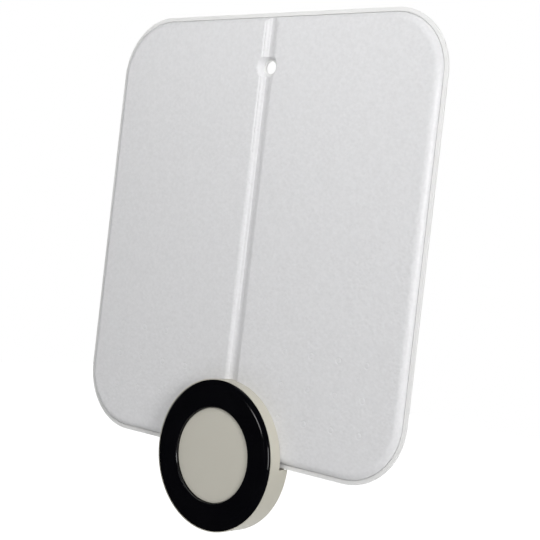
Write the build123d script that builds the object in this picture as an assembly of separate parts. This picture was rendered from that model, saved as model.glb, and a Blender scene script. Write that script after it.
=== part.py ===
from build123d import *
import os

# Flat indoor TV antenna: a thin panel of a plastic tray and a raised cover that hangs by a hole near
# its top edge, and a round hub that grips the middle of its bottom edge and holds the matching board.
# Millimetres. The origin is the centre of the hanging hole on the panel's back face, with +Z up
# and -Y to the front. A level is a distance forward from that back face.

# Panel outline
PANEL_W = 225.0
PANEL_H = 238.6
PANEL_R = 34.0
RIM = 2.5
RIM_GAP = 0.3
HOLE_DROP = 29.5
HOLE_R = 3.5

# Panel section, from the back face forward
REAR_T = 0.9
RIM_T = 0.8
RISE = 3.0
WALL = 1.0
SHOULDER_W = 3.85
SHOULDER_R = 4.0
TRAY_EDGE_R = 1.2
RIM_EDGE_R = 0.25

# Groove down the middle of the face: rolled shoulders, a short sloped line and a hollow floor. Two
# steps are cut into it, each with a half width of its floor, a depth and a reach below the hole.
GROOVE_HALF_W = 5.6
LINE_HALF_W = 2.9
LINE_DEPTH = 0.9
LINE_DROP = 0.3
FLOOR_DEPTH = 1.8
STEPS = ((4.1, 0.5, 45.0), (1.1, 1.95, 130.0))
STEP_SLOPE = 45.0
RUN_OUT = 0.02
EYE_R = 6.6
EYE_LIP_R = 1.6
EYE_FLOOR_R = 5.0
EYE_HOLE_R = 4.7

# Moulded ring marks in the lower part of the face
MARK_R = 1.5
MARK_W = 1.0
MARK_DEPTH = 0.16
MARK_PITCH = 17.45
MARK_COLUMNS = (2, 3, 4, 5)
MARK_ROWS = 3
MARK_FIRST = 25.5

# Hub
HUB_R = 40.5
HUB_BACK = -1.9
HUB_EDGE_R = 0.6
HUB_WALL = 1.8
HUB_LIP = 12.2
SEAT = 11.0
FRONT_WALL = 1.4
RING_R = 40.0
RING_HOLE_R = 25.4
RING_FRONT = 13.8
RING_SHOULDER = 4.2
RING_EDGE = 12.1
RING_INNER_EDGE_R = 0.6
CAP_GAP = 0.2
CAP_EDGE = 12.3
CAP_CROWN = 12.7
CAP_EDGE_R = 0.3
FIT_GAP = 0.05
SLOT_GAP = 0.6
SLOT_EDGE = 0.5
COVER_GAP = 0.2
PEG_R = 1.2
RING_PEGS = 4
RING_PEG_CIRCLE = 33.0
CAP_PEGS = 3
CAP_PEG_CIRCLE = 14.0
TONGUE_W = 8.0

# Clamp screws of the hub
CLAMP_X = 24.0
CLAMP_Z = 20.0
BOSS_R = 3.2
SCREW_R = 1.3
SCREW_HEAD_R = 2.5
SCREW_HEAD_DEPTH = 1.2
SCREW_TIP = 8.6
DRIVE_W = 0.7
DRIVE_L = 3.2
DRIVE_DEPTH = 0.8

# Radiator loops and feed strips
SHEET = 0.4
LOOP_IN = 9.0
LOOP_OUT = 103.0
LOOP_TOP = 18.0
LOOP_BOTTOM = -160.0
LOOP_R = 26.0
WINDOW_R = 14.0
BAND = 17.0
TAIL_W = 10.0
TAIL_END = -190.0
STAKES = ((17.5, -20.0), (17.5, -122.0), (94.5, -20.0), (94.5, -122.0))
STAKE_R = 1.5
STAKE_HEAD_R = 2.4
STAKE_HEAD_T = 0.6
FEED_X = 14.0
FEED_W = 6.0
FEED_FOOT = -189.0
FEED_RISER = -181.2
FEED_END = -205.0
FEED_BEND_R = 0.9
FEED_WINDOW_W = 8.0
FEED_WINDOW_H = 9.0
RIVET_Z = -186.0
RIVET_R = 1.0
RIVET_HEAD_R = 2.0
RIVET_HEAD_T = 0.6

# Matching board
BOARD_W = 40.0
BOARD_H = 42.0
BOARD_T = 1.2
BOARD_R = 2.0
BOARD_BACK = 6.6
BOARD_MID = -11.0
BOARD_SCREWS = ((-16.0, -14.0), (16.0, -14.0), (0.0, 5.0))
BOARD_SCREW_R = 0.8
BOARD_SCREW_HEAD_R = 1.8
BOARD_SCREW_HEAD_T = 1.2
BOARD_SCREW_TIP = 10.4
STANDOFF_R = 2.4
CORE_W = 8.0
CORE_T = 4.0
CORE_L = 6.0
CORE_DROP = 9.0
CORE_HOLE_R = 0.9
CORE_HOLE_X = 1.8
TURN_L = 8.6
CHIP = (2.0, 0.8, 1.2)
CHIP_XS = (-9.0, -5.0, 5.0, 9.0)
CHIP_DROP = 18.0

# Coax socket in the hub's underside
SOCKET_LEVEL = 3.3
SOCKET_R = 2.8
SOCKET_MOUTH = 40.2
SOCKET_BODY_W = 6.6
SOCKET_BODY_TOP = 27.0
SOCKET_BODY_BOTTOM = 34.0
SOCKET_BORE_R = 1.85
SOCKET_BORE_L = 4.2
INSULATOR_R = 1.5
CONTACT_R = 0.6
CONTACT_HOLE_R = 0.35
CONTACT_HOLE_L = 3.0
CONTACT_TAIL = 1.5

# Worked out from the sizes above
RIM_TOP = REAR_T + RIM_T
FACE = RIM_TOP + RISE
GROOVE_DEPTH = max(depth for half_width, depth, reach in STEPS)
PANEL_TOP = HOLE_DROP
PANEL_BOTTOM = HOLE_DROP - PANEL_H
PANEL_MID = (PANEL_TOP + PANEL_BOTTOM) / 2
HUB_Z = PANEL_BOTTOM
INSIDE = SEAT - FRONT_WALL
SIDES = (-1, 1)
LEVEL_TOLERANCE = 1e-4


def at_level(level):
    """Plane parallel to the panel, with its own x to the right and its own y up."""
    return Plane.XZ.offset(level)


def slab(sketch, low, high):
    """Solid of a front-view sketch between two levels."""
    return extrude(at_level(low) * sketch, high - low)


def front_edges(solid, level):
    """Edges of the solid's flat faces at one level."""
    faces = solid.faces().filter_by(Axis.Y)
    flat = [face for face in faces if abs(face.center().Y + level) < LEVEL_TOLERANCE]
    return [edge for face in flat for edge in face.edges()]


def across(z):
    """Plane square to the panel's height, with its own x to the right and its own y forward."""
    return Plane(origin=(0, 0, z), x_dir=(1, 0, 0), z_dir=(0, 0, -1))


def section(*points):
    """Closed half section through (radius, level) points."""
    return make_face(Polyline(*points, close=True))


def turned(half_section, centre_z=0.0):
    """Solid turned from a half section about a front-to-back axis."""
    return revolve(across(centre_z) * half_section, Axis((0, 0, centre_z), (0, 1, 0)))


def disc(x, z, radius, low, high):
    """Round pin or hole along the front-to-back direction."""
    return slab(Pos(x, z) * Circle(radius), low, high)


def panel_outline(inset=0.0):
    """Rounded outline of the whole panel, drawn in by an inset."""
    width = PANEL_W - 2 * inset
    height = PANEL_H - 2 * inset
    return Pos(0, PANEL_MID) * RectangleRounded(width, height, PANEL_R - inset)


def clamp_points(rows):
    """Places of the hub's clamp screws, upper row +1 and lower row -1."""
    return [(side * CLAMP_X, HUB_Z + row * CLAMP_Z) for row in rows for side in SIDES]


def board_points():
    """Places of the matching board's screws."""
    return [(x, HUB_Z + z) for x, z in BOARD_SCREWS]


def groove():
    """Cutter for the groove, open at the top edge and hidden by the hub below."""
    edge = (GROOVE_HALF_W, FACE + RUN_OUT)
    line = (LINE_HALF_W, FACE - LINE_DEPTH)
    foot = (LINE_HALF_W - LINE_DROP, FACE - LINE_DEPTH - LINE_DROP)
    right = [TangentArc(edge, line, tangent=(-1, 0)), Line(line, foot)]
    left = [mirror(piece, Plane.YZ) for piece in right]
    floor = ThreePointArc(foot, (0, FACE - FLOOR_DEPTH), left[-1] @ 1)
    lid = Polyline(edge, (GROOVE_HALF_W, FACE + RISE), (-GROOVE_HALF_W, FACE + RISE), left[0] @ 0)
    cutter = extrude(across(PANEL_TOP) * make_face([*right, floor, *left, lid]), PANEL_H)
    for half_width, depth, reach in STEPS:
        step = Pos(0, (PANEL_TOP - reach) / 2) * Rectangle(2 * half_width, PANEL_TOP + reach)
        step += Pos(0, -reach) * Circle(half_width)
        cutter += extrude(at_level(FACE - depth) * step, depth + RUN_OUT, taper=-STEP_SLOPE)
    return cutter


def eye():
    """Cutter for the dish about the hanging hole, with a sloped wall and a rounded lip."""
    top = FACE + RUN_OUT
    reach = 2 * EYE_R
    wall = FilletPolyline((EYE_FLOOR_R, RIM_TOP), (EYE_R, top), (reach, top), radius=EYE_LIP_R)
    lid = Polyline(wall @ 1, (reach, FACE + RISE), (0, FACE + RISE), (0, RIM_TOP), wall @ 0)
    return turned(make_face([wall, lid]))


def rolled_block(inset, roll, top):
    """Block with straight walls at an inset, whose front rolls off over the width of the shoulders."""
    block = slab(panel_outline(RIM + SHOULDER_W - roll), top - 2 * roll, top)
    block = fillet(front_edges(block, top), roll)
    return block & slab(panel_outline(inset), REAR_T, top)


def raised_face():
    """Outer form of the raised face, with wide rolled shoulders and the groove."""
    return rolled_block(RIM, SHOULDER_R, FACE) - groove()


def face_cavity():
    """Hollow inside the raised face, thicker under the groove and closed round the eye."""
    hollow = rolled_block(RIM + WALL, SHOULDER_R - WALL, FACE - WALL)
    spine = Pos(0, PANEL_MID) * Rectangle(2 * GROOVE_HALF_W, PANEL_H)
    hollow -= slab(spine, FACE - GROOVE_DEPTH - WALL, FACE)
    return hollow - disc(0, 0, EYE_R + EYE_LIP_R, REAR_T, FACE)


def ring_marks():
    """Cutters for the rows of shallow ring marks."""
    above = FACE + MARK_DEPTH
    valley = section((MARK_R - MARK_W, above), (MARK_R + MARK_W, above), (MARK_R, FACE - MARK_DEPTH))
    mark = turned(valley)
    heights = [PANEL_BOTTOM + MARK_FIRST + row * MARK_PITCH for row in range(MARK_ROWS)]
    places = [(side * column * MARK_PITCH, z) for z in heights for column in MARK_COLUMNS for side in SIDES]
    return [Pos(x, 0, z) * mark for x, z in places]


def make_front_cover():
    """Raised hollow cover that stands in the tray, inside its rim."""
    cover = raised_face() - face_cavity() - eye()
    cover -= disc(0, 0, EYE_HOLE_R, REAR_T, RIM_TOP)
    for x, z in clamp_points((1,)):
        cover -= disc(x, z, BOSS_R + COVER_GAP, REAR_T, FACE)
    for side in SIDES:
        window = Pos(side * FEED_X, FEED_RISER) * Rectangle(FEED_WINDOW_W, FEED_WINDOW_H)
        cover -= slab(window, RIM_TOP, FACE)
    return cover - ring_marks()


def make_rear_cover():
    """Shallow tray with a low rim, the hanging hole and the stakes that hold the loops."""
    sheet = slab(panel_outline(), 0, RIM_TOP)
    sheet = fillet(front_edges(sheet, 0), TRAY_EDGE_R)
    sheet = fillet(front_edges(sheet, RIM_TOP), RIM_EDGE_R)
    sheet -= slab(panel_outline(RIM - RIM_GAP), REAR_T, RIM_TOP)
    sheet -= disc(0, 0, HOLE_R, 0, REAR_T)
    for x, z in clamp_points((1,)):
        sheet -= disc(x, z, SCREW_R + COVER_GAP, 0, REAR_T)
    for side in SIDES:
        for x, z in STAKES:
            sheet += disc(side * x, z, STAKE_R, REAR_T, REAR_T + SHEET)
            sheet += disc(side * x, z, STAKE_HEAD_R, REAR_T + SHEET, REAR_T + SHEET + STAKE_HEAD_T)
    return sheet


def make_radiator(side):
    """Stamped sheet loop with a tail that reaches under the hub."""
    width = LOOP_OUT - LOOP_IN
    height = LOOP_TOP - LOOP_BOTTOM
    middle = Pos(side * (LOOP_IN + LOOP_OUT) / 2, (LOOP_TOP + LOOP_BOTTOM) / 2)
    loop = middle * RectangleRounded(width, height, LOOP_R)
    loop -= middle * RectangleRounded(width - 2 * BAND, height - 2 * BAND, WINDOW_R)
    tail_top = LOOP_BOTTOM + LOOP_R
    tail = Pos(side * (LOOP_IN + TAIL_W / 2), (tail_top + TAIL_END) / 2)
    loop += tail * Rectangle(TAIL_W, tail_top - TAIL_END)
    for x, z in STAKES:
        loop -= Pos(side * x, z) * Circle(STAKE_R + FIT_GAP)
    loop -= Pos(side * FEED_X, RIVET_Z) * Circle(RIVET_R)
    return slab(loop, REAR_T, REAR_T + SHEET)


def make_feed_strip(side):
    """Strip bent twice, from the loop's tail forward and down to the matching board."""
    foot = -(REAR_T + 1.5 * SHEET)
    run = -(BOARD_BACK - SHEET / 2)
    line = FilletPolyline((foot, FEED_FOOT), (foot, FEED_RISER), (run, FEED_RISER),
                          (run, FEED_END), radius=FEED_BEND_R)
    profile = Plane.YZ.offset(side * FEED_X) * trace(line, SHEET)
    strip = extrude(profile, FEED_W / 2, both=True)
    return strip - disc(side * FEED_X, RIVET_Z, RIVET_R, REAR_T, RIM_TOP)


def make_feed_rivets():
    """One rivet on each side, through the loop's tail and the strip's foot."""
    seat = REAR_T + 2 * SHEET
    rivets = []
    for side in SIDES:
        shank = disc(side * FEED_X, RIVET_Z, RIVET_R, REAR_T, seat)
        rivets.append(shank + disc(side * FEED_X, RIVET_Z, RIVET_HEAD_R, seat, seat + RIVET_HEAD_T))
    return Compound(children=rivets)


def make_hub_body():
    """Ivory drum: cup open to the back, slotted to straddle the bottom of the panel."""
    inner = HUB_R - HUB_WALL
    lip = RING_R + FIT_GAP
    cup = section((HUB_R, HUB_BACK), (HUB_R, HUB_LIP), (lip, HUB_LIP), (lip, SEAT), (0, SEAT),
                  (0, INSIDE), (inner, INSIDE), (inner, HUB_BACK))
    body = turned(cup, HUB_Z)
    rear_rim = max(front_edges(body, HUB_BACK), key=lambda edge: edge.length)
    body = fillet(rear_rim, HUB_EDGE_R)
    ledge = HUB_Z - SLOT_GAP
    above = Pos(0, ledge + HUB_R) * Rectangle(PANEL_W, 2 * HUB_R)
    body -= slab(above, HUB_BACK, FACE)
    bevel = section((HUB_R - SLOT_EDGE, FACE), (HUB_R, FACE + SLOT_EDGE), (HUB_R + SLOT_EDGE, FACE))
    body -= turned(bevel, HUB_Z) & slab(above, FACE, FACE + SLOT_EDGE)

    # Tongue of the upper wall that fills the groove in the panel's face
    wall = Circle(HUB_R) - Circle(inner)
    bridge = Pos(0, HUB_R) * Rectangle(TONGUE_W, HUB_R)
    body += slab(Pos(0, HUB_Z) * (wall & bridge), FACE - GROOVE_DEPTH, FACE) - raised_face()

    for x, z in clamp_points((1,)):
        body += disc(x, z, BOSS_R, REAR_T, INSIDE)
    for x, z in clamp_points((-1,)):
        body += disc(x, z, BOSS_R, 0, INSIDE)
    for x, z in board_points():
        body += disc(x, z, STANDOFF_R, BOARD_BACK + BOARD_T, INSIDE)
        body -= disc(x, z, BOARD_SCREW_R + FIT_GAP, BOARD_BACK, BOARD_SCREW_TIP + FIT_GAP)
    for x, z in clamp_points((1, -1)):
        body -= disc(x, z, SCREW_R + FIT_GAP, 0, SCREW_TIP + FIT_GAP)
    for x, z in ring_pegs() + cap_pegs():
        body -= disc(x, z, PEG_R + FIT_GAP, INSIDE, SEAT)
    return body - along_socket(SOCKET_R + FIT_GAP, inner - HUB_WALL, HUB_R + HUB_WALL)


def ring_pegs():
    """Places of the bezel ring's fixing pegs."""
    return [(p.position.X, HUB_Z + p.position.Y) for p in PolarLocations(RING_PEG_CIRCLE, RING_PEGS)]


def cap_pegs():
    """Places of the centre cap's fixing pegs."""
    return [(p.position.X, HUB_Z + p.position.Y) for p in PolarLocations(CAP_PEG_CIRCLE, CAP_PEGS, 90)]


def make_bezel_ring():
    """Black ring with a wide rounded shoulder, pegged to the drum's front."""
    crest = (RING_R - RING_SHOULDER, RING_FRONT)
    edge = (RING_R, RING_EDGE)
    base = Polyline(edge, (RING_R, SEAT), (RING_HOLE_R, SEAT), (RING_HOLE_R, RING_FRONT), crest)
    ring = turned(make_face([TangentArc(crest, edge, tangent=(1, 0)), base]), HUB_Z)
    mouth = min(front_edges(ring, RING_FRONT), key=lambda rim: rim.length)
    ring = fillet(mouth, RING_INNER_EDGE_R)
    for x, z in ring_pegs():
        ring += disc(x, z, PEG_R, INSIDE, SEAT)
    return ring


def make_centre_cap():
    """Slightly crowned disc set back inside the ring, pegged to the drum's front."""
    radius = RING_HOLE_R - CAP_GAP
    sag = CAP_CROWN - CAP_EDGE
    ball_r = (radius**2 + sag**2) / (2 * sag)
    cap = disc(0, HUB_Z, radius, SEAT, CAP_CROWN) & Pos(0, ball_r - CAP_CROWN, HUB_Z) * Sphere(ball_r)
    rim = cap.edges().sort_by(Axis.Y)[0]
    cap = fillet(rim, CAP_EDGE_R)
    for x, z in cap_pegs():
        cap += disc(x, z, PEG_R, INSIDE, SEAT)
    return cap


def screw_head(x, z):
    """Countersunk cone of one clamp screw, flush with the hub's back."""
    neck = HUB_BACK + SCREW_HEAD_DEPTH
    cone = turned(section((0, HUB_BACK), (SCREW_HEAD_R, HUB_BACK), (SCREW_R, neck), (0, neck)))
    return Pos(x, 0, z) * cone


def make_hub_rear_cover():
    """Disc that closes the drum behind and clamps the panel, with countersunk holes."""
    radius = HUB_R - HUB_WALL - COVER_GAP
    cover = slab(Pos(0, HUB_Z) * Circle(radius), HUB_BACK, 0)
    cover = fillet(front_edges(cover, HUB_BACK), HUB_EDGE_R)
    for x, z in clamp_points((1, -1)):
        cover -= screw_head(x, z) + disc(x, z, SCREW_R + FIT_GAP, HUB_BACK, 0)
    return cover


def make_hub_screws():
    """Four countersunk screws with cross recesses."""
    cross = Rectangle(DRIVE_L, DRIVE_W) + Rectangle(DRIVE_W, DRIVE_L)
    screws = []
    for x, z in clamp_points((1, -1)):
        screw = screw_head(x, z) + disc(x, z, SCREW_R, HUB_BACK, SCREW_TIP)
        screws.append(screw - slab(Pos(x, z) * cross, HUB_BACK, HUB_BACK + DRIVE_DEPTH))
    return Compound(children=screws)


def make_matching_board():
    """Small circuit board that carries the feed strips, the balun and the socket."""
    board = Pos(0, HUB_Z + BOARD_MID) * RectangleRounded(BOARD_W, BOARD_H, BOARD_R)
    for x, z in board_points():
        board -= Pos(x, z) * Circle(BOARD_SCREW_R + COVER_GAP)
    return slab(board, BOARD_BACK, BOARD_BACK + BOARD_T)


def make_board_screws():
    """Pan-head screws from behind the board into the drum's stand-offs."""
    head = BOARD_BACK - BOARD_SCREW_HEAD_T
    screws = []
    for x, z in board_points():
        shank = disc(x, z, BOARD_SCREW_R, BOARD_BACK, BOARD_SCREW_TIP)
        screws.append(shank + disc(x, z, BOARD_SCREW_HEAD_R, head, BOARD_BACK))
    return Compound(children=screws)


def make_balun_core():
    """Two-hole ferrite block on the back of the board."""
    z = HUB_Z - CORE_DROP
    core = slab(Pos(0, z) * Rectangle(CORE_W, CORE_L), BOARD_BACK - CORE_T, BOARD_BACK)
    for side in SIDES:
        hole = Cylinder(CORE_HOLE_R, CORE_L)
        core -= Pos(side * CORE_HOLE_X, -(BOARD_BACK - CORE_T / 2), z) * hole
    return core


def make_balun_winding():
    """Bundle of wire turns that fills both holes of the core."""
    x, z = CORE_HOLE_X, TURN_L / 2
    turn = Polyline((x, 0), (x, z), (-x, z), (-x, -z), (x, -z), close=True)
    path = at_level(BOARD_BACK - CORE_T / 2) * Pos(0, HUB_Z - CORE_DROP) * turn
    wire = Plane(origin=path @ 0, z_dir=path % 0) * Circle(CORE_HOLE_R)
    return sweep(wire, path, transition=Transition.RIGHT)


def make_chip_capacitors():
    """Row of matching parts on the back of the board."""
    width, depth, height = CHIP
    row = [Pos(x, HUB_Z - CHIP_DROP) * Rectangle(width, height) for x in CHIP_XS]
    return Compound(children=[slab(chip, BOARD_BACK - depth, BOARD_BACK) for chip in row])


def along_socket(radius, start, end):
    """Round solid on the socket's axis, between two distances below the hub's centre."""
    middle = Pos(0, -SOCKET_LEVEL, HUB_Z - (start + end) / 2)
    return middle * Cylinder(radius, end - start)


def make_socket_shell():
    """Metal shell: square body on the board, round barrel through the drum's wall."""
    middle = HUB_Z - (SOCKET_BODY_TOP + SOCKET_BODY_BOTTOM) / 2
    body = Pos(0, middle) * Rectangle(SOCKET_BODY_W, SOCKET_BODY_BOTTOM - SOCKET_BODY_TOP)
    shell = slab(body, FIT_GAP, BOARD_BACK)
    shell += along_socket(SOCKET_R, SOCKET_BODY_BOTTOM, SOCKET_MOUTH)
    face = SOCKET_MOUTH - SOCKET_BORE_L
    shell -= along_socket(SOCKET_BORE_R, face, SOCKET_MOUTH)
    return shell - along_socket(INSULATOR_R, SOCKET_BODY_TOP, face)


def make_socket_insulator():
    """Plastic plug in the shell that carries the contact."""
    face = SOCKET_MOUTH - SOCKET_BORE_L
    plug = along_socket(INSULATOR_R, SOCKET_BODY_TOP, face)
    return plug - along_socket(CONTACT_R, SOCKET_BODY_TOP, face)


def make_socket_contact():
    """Hollow-ended contact, flush with the insulator, with a soldering tail."""
    face = SOCKET_MOUTH - SOCKET_BORE_L
    contact = along_socket(CONTACT_R, SOCKET_BODY_TOP - CONTACT_TAIL, face)
    return contact - along_socket(CONTACT_HOLE_R, face - CONTACT_HOLE_L, face)


NODES = {
    "rear_cover": make_rear_cover(),
    "radiator_left": make_radiator(-1),
    "radiator_right": make_radiator(1),
    "feed_strip_left": make_feed_strip(-1),
    "feed_strip_right": make_feed_strip(1),
    "feed_rivets": make_feed_rivets(),
    "front_cover": make_front_cover(),
    "hub_body": make_hub_body(),
    "bezel_ring": make_bezel_ring(),
    "centre_cap": make_centre_cap(),
    "matching_board": make_matching_board(),
    "board_screws": make_board_screws(),
    "balun_core": make_balun_core(),
    "balun_winding": make_balun_winding(),
    "chip_capacitors": make_chip_capacitors(),
    "socket_shell": make_socket_shell(),
    "socket_insulator": make_socket_insulator(),
    "socket_contact": make_socket_contact(),
    "hub_rear_cover": make_hub_rear_cover(),
    "hub_screws": make_hub_screws(),
}

os.makedirs("parts", exist_ok=True)
for name, shape in NODES.items():
    export_step(shape, f"parts/{name}.step")
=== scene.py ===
from math import cos, radians, sin

import bmesh
import bpy
from mathutils import Matrix, Quaternion, Vector


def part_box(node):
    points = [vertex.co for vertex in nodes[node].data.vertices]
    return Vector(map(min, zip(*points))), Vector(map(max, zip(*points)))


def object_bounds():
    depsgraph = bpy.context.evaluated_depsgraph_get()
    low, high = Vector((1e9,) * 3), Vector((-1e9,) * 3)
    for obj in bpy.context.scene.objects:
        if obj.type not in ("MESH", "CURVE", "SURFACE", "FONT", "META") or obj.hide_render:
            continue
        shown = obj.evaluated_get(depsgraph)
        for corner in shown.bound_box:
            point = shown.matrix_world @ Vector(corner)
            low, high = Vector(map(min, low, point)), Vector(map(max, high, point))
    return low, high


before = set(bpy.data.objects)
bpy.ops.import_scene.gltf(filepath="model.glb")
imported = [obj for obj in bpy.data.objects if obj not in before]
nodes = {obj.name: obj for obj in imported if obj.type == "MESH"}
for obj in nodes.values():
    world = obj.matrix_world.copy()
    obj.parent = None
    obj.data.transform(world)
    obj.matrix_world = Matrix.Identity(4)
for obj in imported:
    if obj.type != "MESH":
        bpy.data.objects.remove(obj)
cad_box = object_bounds()


# Rear tray of the panel: a shallow moulded tray of white plastic with a fine even grain.
# Its low rim frames the front cover, its floor carries the loops on stakes, and the hanging
# hole goes through it.
NOISE_LOW, NOISE_HIGH = 0.3, 0.7
CLOUDS_PER_METRE = 18
GRAIN_STRENGTH = 0.5
ROUGH_SPREAD = 0.06


def new_material(name):
    """Empty material with its shader, its node tree and Object coordinates."""
    material = bpy.data.materials.new(name)
    material.use_nodes = True
    tree = material.node_tree
    shader = tree.nodes["Principled BSDF"]
    place = tree.nodes.new("ShaderNodeTexCoord").outputs["Object"]
    return material, tree, shader, place


def noise(tree, place, per_metre, detail, stretch=(1, 1, 1)):
    """Noise value with so many lumps a metre, drawn out along an axis by a stretch under 1."""
    if stretch != (1, 1, 1):
        mapping = tree.nodes.new("ShaderNodeMapping")
        mapping.inputs["Scale"].default_value = stretch
        tree.links.new(place, mapping.inputs["Vector"])
        place = mapping.outputs["Vector"]
    node = tree.nodes.new("ShaderNodeTexNoise")
    node.inputs["Scale"].default_value = per_metre
    node.inputs["Detail"].default_value = detail
    tree.links.new(place, node.inputs["Vector"])
    return node.outputs["Fac"]


def spread(tree, value, low, high):
    """Noise value, with the middle of its range spread over low to high."""
    node = tree.nodes.new("ShaderNodeMapRange")
    node.inputs["From Min"].default_value = NOISE_LOW
    node.inputs["From Max"].default_value = NOISE_HIGH
    node.inputs["To Min"].default_value = low
    node.inputs["To Max"].default_value = high
    tree.links.new(value, node.inputs["Value"])
    return node.outputs["Result"]


def tint(tree, value, dark, pale):
    """Colour that runs from dark to pale with a noise value."""
    node = tree.nodes.new("ShaderNodeMix")
    node.data_type = "RGBA"
    node.inputs["A"].default_value = (*dark, 1)
    node.inputs["B"].default_value = (*pale, 1)
    tree.links.new(spread(tree, value, 0, 1), node.inputs["Factor"])
    return node.outputs["Result"]


def bump(tree, height, depth, strength, under=None, invert=False):
    """Normal of a relief so deep, laid over another relief."""
    node = tree.nodes.new("ShaderNodeBump")
    node.inputs["Distance"].default_value = depth
    node.inputs["Strength"].default_value = strength
    node.invert = invert
    tree.links.new(height, node.inputs["Height"])
    if under:
        tree.links.new(under, node.inputs["Normal"])
    return node.outputs["Normal"]


def dress(material, *names):
    """Gives the material to these pieces of the part."""
    for name in names:
        nodes[name].material_slots[0].material = material


def grained_plastic(name, dark, pale, grain_per_metre, grain_depth, rough):
    """Moulded plastic: cloudy colour, a spark-eroded grain and a gloss that varies with it."""
    material, tree, shader, place = new_material(name)
    cloud = noise(tree, place, CLOUDS_PER_METRE, detail=3)
    grain = noise(tree, place, grain_per_metre, detail=3)
    gloss = spread(tree, grain, rough - ROUGH_SPREAD, rough + ROUGH_SPREAD)
    tree.links.new(tint(tree, cloud, dark, pale), shader.inputs["Base Color"])
    tree.links.new(gloss, shader.inputs["Roughness"])
    tree.links.new(bump(tree, grain, grain_depth, GRAIN_STRENGTH), shader.inputs["Normal"])
    return material


rear_white = grained_plastic("rear_white", dark=(0.845, 0.845, 0.835), pale=(0.875, 0.875, 0.865),
                             grain_per_metre=1500, grain_depth=0.00005, rough=0.5)
dress(rear_white, "rear_cover")


# Two loops that receive the signal, stamped from thin rolled aluminium and staked to the tray.
# The rolling leaves long fine streaks up the sheet.
RELIEF_STRENGTH = 0.4


def bare_metal(name, marks_per_metre, detail, dark, pale, smooth, rough, stretch=(1, 1, 1), relief=0):
    """Metal whose tone and polish follow the same fine marks, cut in by the depth of the relief."""
    material, tree, shader, place = new_material(name)
    marks = noise(tree, place, marks_per_metre, detail, stretch)
    shader.inputs["Metallic"].default_value = 1.0
    tree.links.new(tint(tree, marks, dark, pale), shader.inputs["Base Color"])
    tree.links.new(spread(tree, marks, smooth, rough), shader.inputs["Roughness"])
    if relief:
        tree.links.new(bump(tree, marks, relief, RELIEF_STRENGTH), shader.inputs["Normal"])
    return material


rolled_sheet = bare_metal("rolled_sheet", marks_per_metre=2200, detail=3, stretch=(1, 1, 0.02),
                          dark=(0.74, 0.74, 0.75), pale=(0.84, 0.84, 0.85), smooth=0.26, rough=0.38,
                          relief=0.00002)
dress(rolled_sheet, "radiator_left", "radiator_right")


# Feed strips: brass strip bent from the loops' tails forward and down to the board. Each is held
# to its loop by a rivet of the same brass, and both have dulled unevenly.
strip_brass = bare_metal("strip_brass", marks_per_metre=400, detail=4, dark=(0.58, 0.42, 0.20),
                         pale=(0.74, 0.58, 0.31), smooth=0.24, rough=0.42)
dress(strip_brass, "feed_strip_left", "feed_strip_right", "feed_rivets")


# Front cover of the panel: a raised shell of flecked pearl white plastic that stands in the tray. Its
# mould gives it a fine leather grain: pebbles between soft valleys, and a satin skin over both.
PEARL_DARK = (0.766, 0.766, 0.776)
PEARL_PALE = (0.81, 0.81, 0.822)
PEARL_SMOOTH, PEARL_ROUGH = 0.32, 0.44
FLECKS_PER_METRE = 500
PEBBLES_PER_METRE = 600
PEBBLE_BLEND = 0.6
PEBBLE_DEPTH, PEBBLE_STRENGTH = 0.00022, 0.8
SKIN_PER_METRE = 2600
SKIN_DEPTH, SKIN_STRENGTH = PEBBLE_DEPTH / 2, 0.3

pearl_white, tree, shader, place = new_material("pearl_white")
cells = tree.nodes.new("ShaderNodeTexVoronoi")
cells.feature = "SMOOTH_F1"
cells.inputs["Scale"].default_value = PEBBLES_PER_METRE
cells.inputs["Smoothness"].default_value = PEBBLE_BLEND
tree.links.new(place, cells.inputs["Vector"])
fleck = noise(tree, place, FLECKS_PER_METRE, detail=2)
skin = noise(tree, place, SKIN_PER_METRE, detail=2)
leather = bump(tree, cells.outputs["Distance"], PEBBLE_DEPTH, PEBBLE_STRENGTH, invert=True)
tree.links.new(bump(tree, skin, SKIN_DEPTH, SKIN_STRENGTH, leather), shader.inputs["Normal"])
tree.links.new(tint(tree, fleck, PEARL_DARK, PEARL_PALE), shader.inputs["Base Color"])
tree.links.new(spread(tree, skin, PEARL_SMOOTH, PEARL_ROUGH), shader.inputs["Roughness"])
dress(pearl_white, "front_cover")


# Hub drum and its rear cover: ivory plastic with a satin spark-eroded skin. The drum is slotted
# to straddle the panel's bottom edge, and the cover screws on from behind.
ivory = grained_plastic("ivory", dark=(0.58, 0.558, 0.478), pale=(0.61, 0.588, 0.508),
                        grain_per_metre=2400, grain_depth=0.00004, rough=0.42)
dress(ivory, "hub_body", "hub_rear_cover")


# Bezel ring: black plastic polished to a high gloss, with a wide rounded shoulder. It is pegged to
# the drum's front, and handling leaves its gloss a little uneven.
BLACK_DARK = (0.002, 0.002, 0.003)
BLACK_PALE = (0.003, 0.003, 0.004)

bezel_black, tree, shader, place = new_material("bezel_black")
wipe = noise(tree, place, per_metre=60, detail=4)
tree.links.new(tint(tree, wipe, BLACK_DARK, BLACK_PALE), shader.inputs["Base Color"])
tree.links.new(spread(tree, wipe, low=0.10, high=0.16), shader.inputs["Roughness"])
dress(bezel_black, "bezel_ring")


# Centre cap: a thin crowned disc of the same ivory as the drum, with a finer grain. It is pegged
# to the drum's front, set back inside the ring.
cap_ivory = grained_plastic("cap_ivory", dark=(0.585, 0.565, 0.493), pale=(0.605, 0.585, 0.513),
                            grain_per_metre=2600, grain_depth=0.00003, rough=0.46)
dress(cap_ivory, "centre_cap")


# Matching board: a glass-filled board under green resist, with its weave faintly showing. It is
# screwed to stand-offs inside the drum.
RESIST_DARK = (0.03, 0.16, 0.07)
RESIST_PALE = (0.05, 0.24, 0.11)

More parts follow.
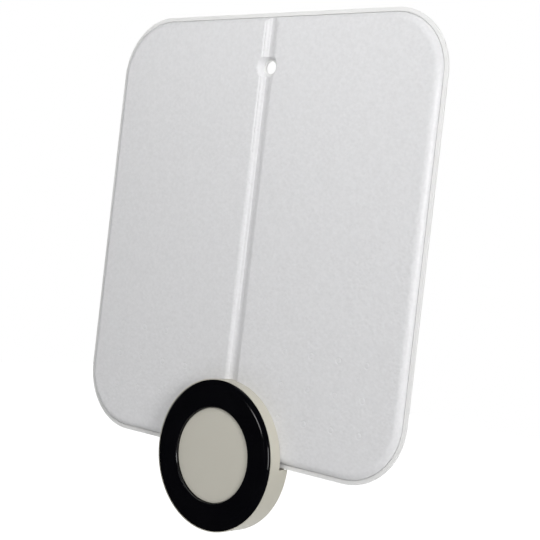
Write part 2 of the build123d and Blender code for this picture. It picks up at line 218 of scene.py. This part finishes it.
resist_green, tree, shader, place = new_material("resist_green")
weave = noise(tree, place, per_metre=1400, detail=1, stretch=(1, 1, 0.3))
tree.links.new(tint(tree, weave, RESIST_DARK, RESIST_PALE), shader.inputs["Base Color"])
tree.links.new(bump(tree, weave, depth=0.00002, strength=0.3), shader.inputs["Normal"])
shader.inputs["Roughness"].default_value = 0.3
dress(resist_green, "matching_board")


# Balun: a ground two-hole ferrite block on the board, with a bundle of enamelled copper wire
# wound through its holes.
FERRITE_DARK = (0.045, 0.045, 0.05)
FERRITE_PALE = (0.075, 0.075, 0.08)
ENAMEL_DARK = (0.45, 0.16, 0.07)
ENAMEL_PALE = (0.66, 0.30, 0.15)

ferrite, tree, shader, place = new_material("ferrite")
speck = noise(tree, place, per_metre=3000, detail=2)
tree.links.new(tint(tree, speck, FERRITE_DARK, FERRITE_PALE), shader.inputs["Base Color"])
tree.links.new(spread(tree, speck, low=0.45, high=0.6), shader.inputs["Roughness"])
dress(ferrite, "balun_core")

enamel_wire, tree, shader, place = new_material("enamel_wire")
strands = noise(tree, place, per_metre=1800, detail=2, stretch=(1, 1, 0.1))
tree.links.new(tint(tree, strands, ENAMEL_DARK, ENAMEL_PALE), shader.inputs["Base Color"])
tree.links.new(bump(tree, strands, depth=0.0001, strength=0.6), shader.inputs["Normal"])
shader.inputs["Metallic"].default_value = 0.8
shader.inputs["Roughness"].default_value = 0.3
dress(enamel_wire, "balun_winding")


# Chip capacitors: small fired ceramic blocks in a row, soldered to the board. The firing leaves
# them speckled.
CHIP_DARK = (0.30, 0.23, 0.16)
CHIP_PALE = (0.38, 0.30, 0.22)

chip_ceramic, tree, shader, place = new_material("chip_ceramic")
speck = noise(tree, place, per_metre=2500, detail=2)
tree.links.new(tint(tree, speck, CHIP_DARK, CHIP_PALE), shader.inputs["Base Color"])
shader.inputs["Roughness"].default_value = 0.5
dress(chip_ceramic, "chip_capacitors")


# Coax socket: a bright plated shell on the board that reaches through the drum's underside, with
# a white insulator pressed into it that holds the gold-plated contact. Turning leaves fine rings
# round the shell and the contact.
plated_shell = bare_metal("plated_shell", marks_per_metre=900, detail=2, stretch=(1, 1, 8),
                          dark=(0.66, 0.58, 0.40), pale=(0.78, 0.70, 0.52), smooth=0.16, rough=0.28)
dress(plated_shell, "socket_shell")

contact_gold = bare_metal("contact_gold", marks_per_metre=1500, detail=2, stretch=(1, 1, 6),
                          dark=(0.80, 0.58, 0.22), pale=(0.90, 0.70, 0.32), smooth=0.14, rough=0.24)
dress(contact_gold, "socket_contact")

insulator_white = grained_plastic("insulator_white", dark=(0.84, 0.83, 0.80), pale=(0.88, 0.87, 0.84),
                                  grain_per_metre=3000, grain_depth=0.00002, rough=0.4)
dress(insulator_white, "socket_insulator")


# Screws: zinc-plated steel with a fine spangle. Four are countersunk in the hub's back and clamp
# the panel, and three with pan heads hold the board.
zinc = bare_metal("zinc", marks_per_metre=1600, detail=3, dark=(0.48, 0.49, 0.51), pale=(0.62, 0.63, 0.66),
                  smooth=0.25, rough=0.4)
dress(zinc, "hub_screws", "board_screws")


# Floor: a plain white sheet of card well below the hanging part. Near the part it glows about half
# as much as further off, and the lamps light it the rest of the way to white, so that a shadow on it
# still shows.
FLOOR_DROP = 0.32
FLOOR_SIDE = 6.0
FLOOR_SHADE = (0.8, 0.8, 0.8, 1)
GLOW_NEAR, GLOW_FAR = 0.55, 1.0
FADE_START, FADE_END = 0.7, 1.4


def stage_piece(name, mesh, material):
    """Puts a finished bmesh on the stage, outside the part."""
    data = bpy.data.meshes.new(name)
    mesh.to_mesh(data)
    mesh.free()
    data.materials.append(material)
    piece = bpy.data.objects.new(name, data)
    bpy.context.scene.collection.objects.link(piece)
    return piece


def seen_directly(tree):
    """1 for rays that come from the camera, a gloss or a clear surface."""
    path = tree.nodes.new("ShaderNodeLightPath").outputs
    total = path["Is Camera Ray"]
    for ray in ("Is Glossy Ray", "Is Transmission Ray"):
        add = tree.nodes.new("ShaderNodeMath")
        add.operation = "ADD"
        add.use_clamp = True
        tree.links.new(total, add.inputs[0])
        tree.links.new(path[ray], add.inputs[1])
        total = add.outputs["Value"]
    return total


def matt_card(name, shade):
    """Plain card with no gloss at all."""
    material, tree, shader, place = new_material(name)
    shader.inputs["Base Color"].default_value = shade
    shader.inputs["Roughness"].default_value = 1.0
    shader.inputs["Specular IOR Level"].default_value = 0.0
    return material, tree, shader, place


floor_white, tree, shader, place = matt_card("floor_white", FLOOR_SHADE)
shader.inputs["Emission Color"].default_value = (1, 1, 1, 1)
away = tree.nodes.new("ShaderNodeVectorMath")
away.operation = "LENGTH"
tree.links.new(place, away.inputs[0])
fade = tree.nodes.new("ShaderNodeMapRange")
fade.interpolation_type = "SMOOTHSTEP"
fade.inputs["From Min"].default_value = FADE_START
fade.inputs["From Max"].default_value = FADE_END
fade.inputs["To Min"].default_value = GLOW_NEAR
fade.inputs["To Max"].default_value = GLOW_FAR
tree.links.new(away.outputs["Value"], fade.inputs["Value"])
glow = tree.nodes.new("ShaderNodeMath")
glow.operation = "MULTIPLY"
tree.links.new(seen_directly(tree), glow.inputs[0])
tree.links.new(fade.outputs["Result"], glow.inputs[1])
tree.links.new(glow.outputs["Value"], shader.inputs["Emission Strength"])

floor = bmesh.new()
floor_level = Matrix.Translation((0, 0, cad_box[0].z - FLOOR_DROP))
bmesh.ops.create_grid(floor, x_segments=1, y_segments=1, size=FLOOR_SIDE / 2, matrix=floor_level)
stage_piece("floor", floor, floor_white)


# Surround: an even white room. It lights the part from all sides, and is seen as full white
# by the camera and in every gloss.
SURROUND_LIGHT = 0.232
SURROUND_SEEN = 1.0

world = bpy.data.worlds.new("surround")
bpy.context.scene.world = world
world.use_nodes = True
tree = world.node_tree
background = tree.nodes["Background"]
background.inputs["Color"].default_value = (1, 1, 1, 1)
level = tree.nodes.new("ShaderNodeMapRange")
level.inputs["To Min"].default_value = SURROUND_LIGHT
level.inputs["To Max"].default_value = SURROUND_SEEN
tree.links.new(seen_directly(tree), level.inputs["Value"])
tree.links.new(level.outputs["Result"], background.inputs["Strength"])


# Studio lamps: a soft key across the panel from the right, a small lamp over its top edge, weak fills
# from the left, the front and below, and one lamp behind for the part's back. Two narrow strips in
# front light nothing, and only draw the thin streaks in the gloss of the ring.
tray_low, tray_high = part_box("rear_cover")
ring_low, ring_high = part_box("bezel_ring")
PANEL_MIDDLE = Vector((0, 0, (tray_low.z + tray_high.z) / 2))
HUB_MIDDLE = Vector((0, 0, (ring_low.z + ring_high.z) / 2))
TOP_AIM = Vector((0, 0, 0.02))


def soft_lamp(name, aim, from_normal, height, distance, size, watts, slant=0, lights=True, glints=True):
    """Area lamp, placed by its angle to the panel's normal and its height, both in degrees."""
    lamp = bpy.data.lights.new(name, "AREA")
    lamp.shape = "RECTANGLE"
    lamp.size, lamp.size_y = size
    lamp.energy = watts
    holder = bpy.data.objects.new(name, lamp)
    turn, rise = radians(from_normal), radians(height)
    towards = Vector((sin(turn) * cos(rise), -cos(turn) * cos(rise), sin(rise)))
    holder.location = aim + towards * distance
    holder.rotation_mode = "QUATERNION"
    holder.rotation_quaternion = towards.to_track_quat("Z", "Y") @ Quaternion((0, 0, 1), radians(slant))
    holder.visible_camera = False
    holder.visible_diffuse = lights
    holder.visible_glossy = glints
    bpy.context.scene.collection.objects.link(holder)


soft_lamp("key", PANEL_MIDDLE, from_normal=66, height=6, distance=1.1, size=(0.35, 0.35), watts=6)
soft_lamp("top", TOP_AIM, from_normal=0, height=35, distance=0.42, size=(0.3, 0.3), watts=1, glints=False)
soft_lamp("left", PANEL_MIDDLE, from_normal=-76, height=-10, distance=0.8, size=(0.4, 0.4), watts=0.8,
          glints=False)
soft_lamp("front", PANEL_MIDDLE, from_normal=38, height=4, distance=1.1, size=(0.4, 0.4), watts=0.65,
          glints=False)
soft_lamp("low", PANEL_MIDDLE, from_normal=0, height=-55, distance=0.5, size=(0.4, 0.2), watts=0.15,
          glints=False)
soft_lamp("back", PANEL_MIDDLE, from_normal=-140, height=-6, distance=1.1, size=(0.5, 0.5), watts=6)
soft_lamp("upper_strip", HUB_MIDDLE, from_normal=-15.5, height=9.5, distance=1.0, size=(0.2, 0.1), watts=0.4,
          slant=-30, lights=False)
soft_lamp("right_strip", HUB_MIDDLE, from_normal=29, height=1, distance=1.0, size=(0.1, 0.3), watts=0.5,
          lights=False)


# Black flag: a curved card round the front and both sides of the part with a card under it, out of
# every picture. The gloss mirrors it, so that the ring stays black but for the lamps' thin streaks.
FLAG_R = 1.3
FLAG_LOW, FLAG_HIGH = -0.5, 1.6
FLAG_LEFT, FLAG_RIGHT = radians(-120), radians(150)
FLAG_STEPS = 36
FLAG_SHADE = (0.01, 0.01, 0.01, 1)
SAME_POINT = 0.0001

flag = bmesh.new()
left_edge = Vector((sin(FLAG_LEFT) * FLAG_R, -cos(FLAG_LEFT) * FLAG_R, 0))
low, high = Vector((0, 0, FLAG_LOW)), Vector((0, 0, FLAG_HIGH))
rim = [flag.verts.new(corner) for corner in (low, left_edge + low, left_edge + high)]
sides = [flag.edges.new(pair) for pair in zip(rim, rim[1:])]
bmesh.ops.spin(flag, geom=[*rim, *sides], cent=(0, 0, 0), axis=(0, 0, 1), angle=FLAG_RIGHT - FLAG_LEFT,
               steps=FLAG_STEPS)
bmesh.ops.remove_doubles(flag, verts=flag.verts, dist=SAME_POINT)
bmesh.ops.recalc_face_normals(flag, faces=flag.faces)
flag_black = matt_card("flag_black", FLAG_SHADE)[0]
card = stage_piece("flag", flag, flag_black)
card.visible_camera = False
card.visible_diffuse = False
card.visible_shadow = False


# Camera: a long lens 40 degrees to the right of the panel's normal, level with the panel's middle. It
# is rolled, because the panel leans in the picture while the part stays upright.
CAMERA_AIM = Vector((0.01606, -0.0017, -0.10784))
CAMERA_DISTANCE = 0.65844
CAMERA_TURN = radians(40.05)
CAMERA_DOWN = radians(0.59)
CAMERA_ROLL = radians(6.55)
CAMERA_LENS = 83.0
CAMERA_SENSOR = 36.0

camera = bpy.data.cameras.new("camera")
camera.lens = CAMERA_LENS
camera.sensor_width = CAMERA_SENSOR
viewer = bpy.data.objects.new("camera", camera)
level_look = Vector((-sin(CAMERA_TURN), cos(CAMERA_TURN), 0))
looking = level_look * cos(CAMERA_DOWN) - Vector((0, 0, sin(CAMERA_DOWN)))
viewer.location = CAMERA_AIM - looking * CAMERA_DISTANCE
viewer.rotation_mode = "QUATERNION"
viewer.rotation_quaternion = looking.to_track_quat("-Z", "Y") @ Quaternion((0, 0, 1), CAMERA_ROLL)
bpy.context.scene.collection.objects.link(viewer)
bpy.context.scene.camera = viewer
bpy.context.scene.view_settings.view_transform = "Standard"
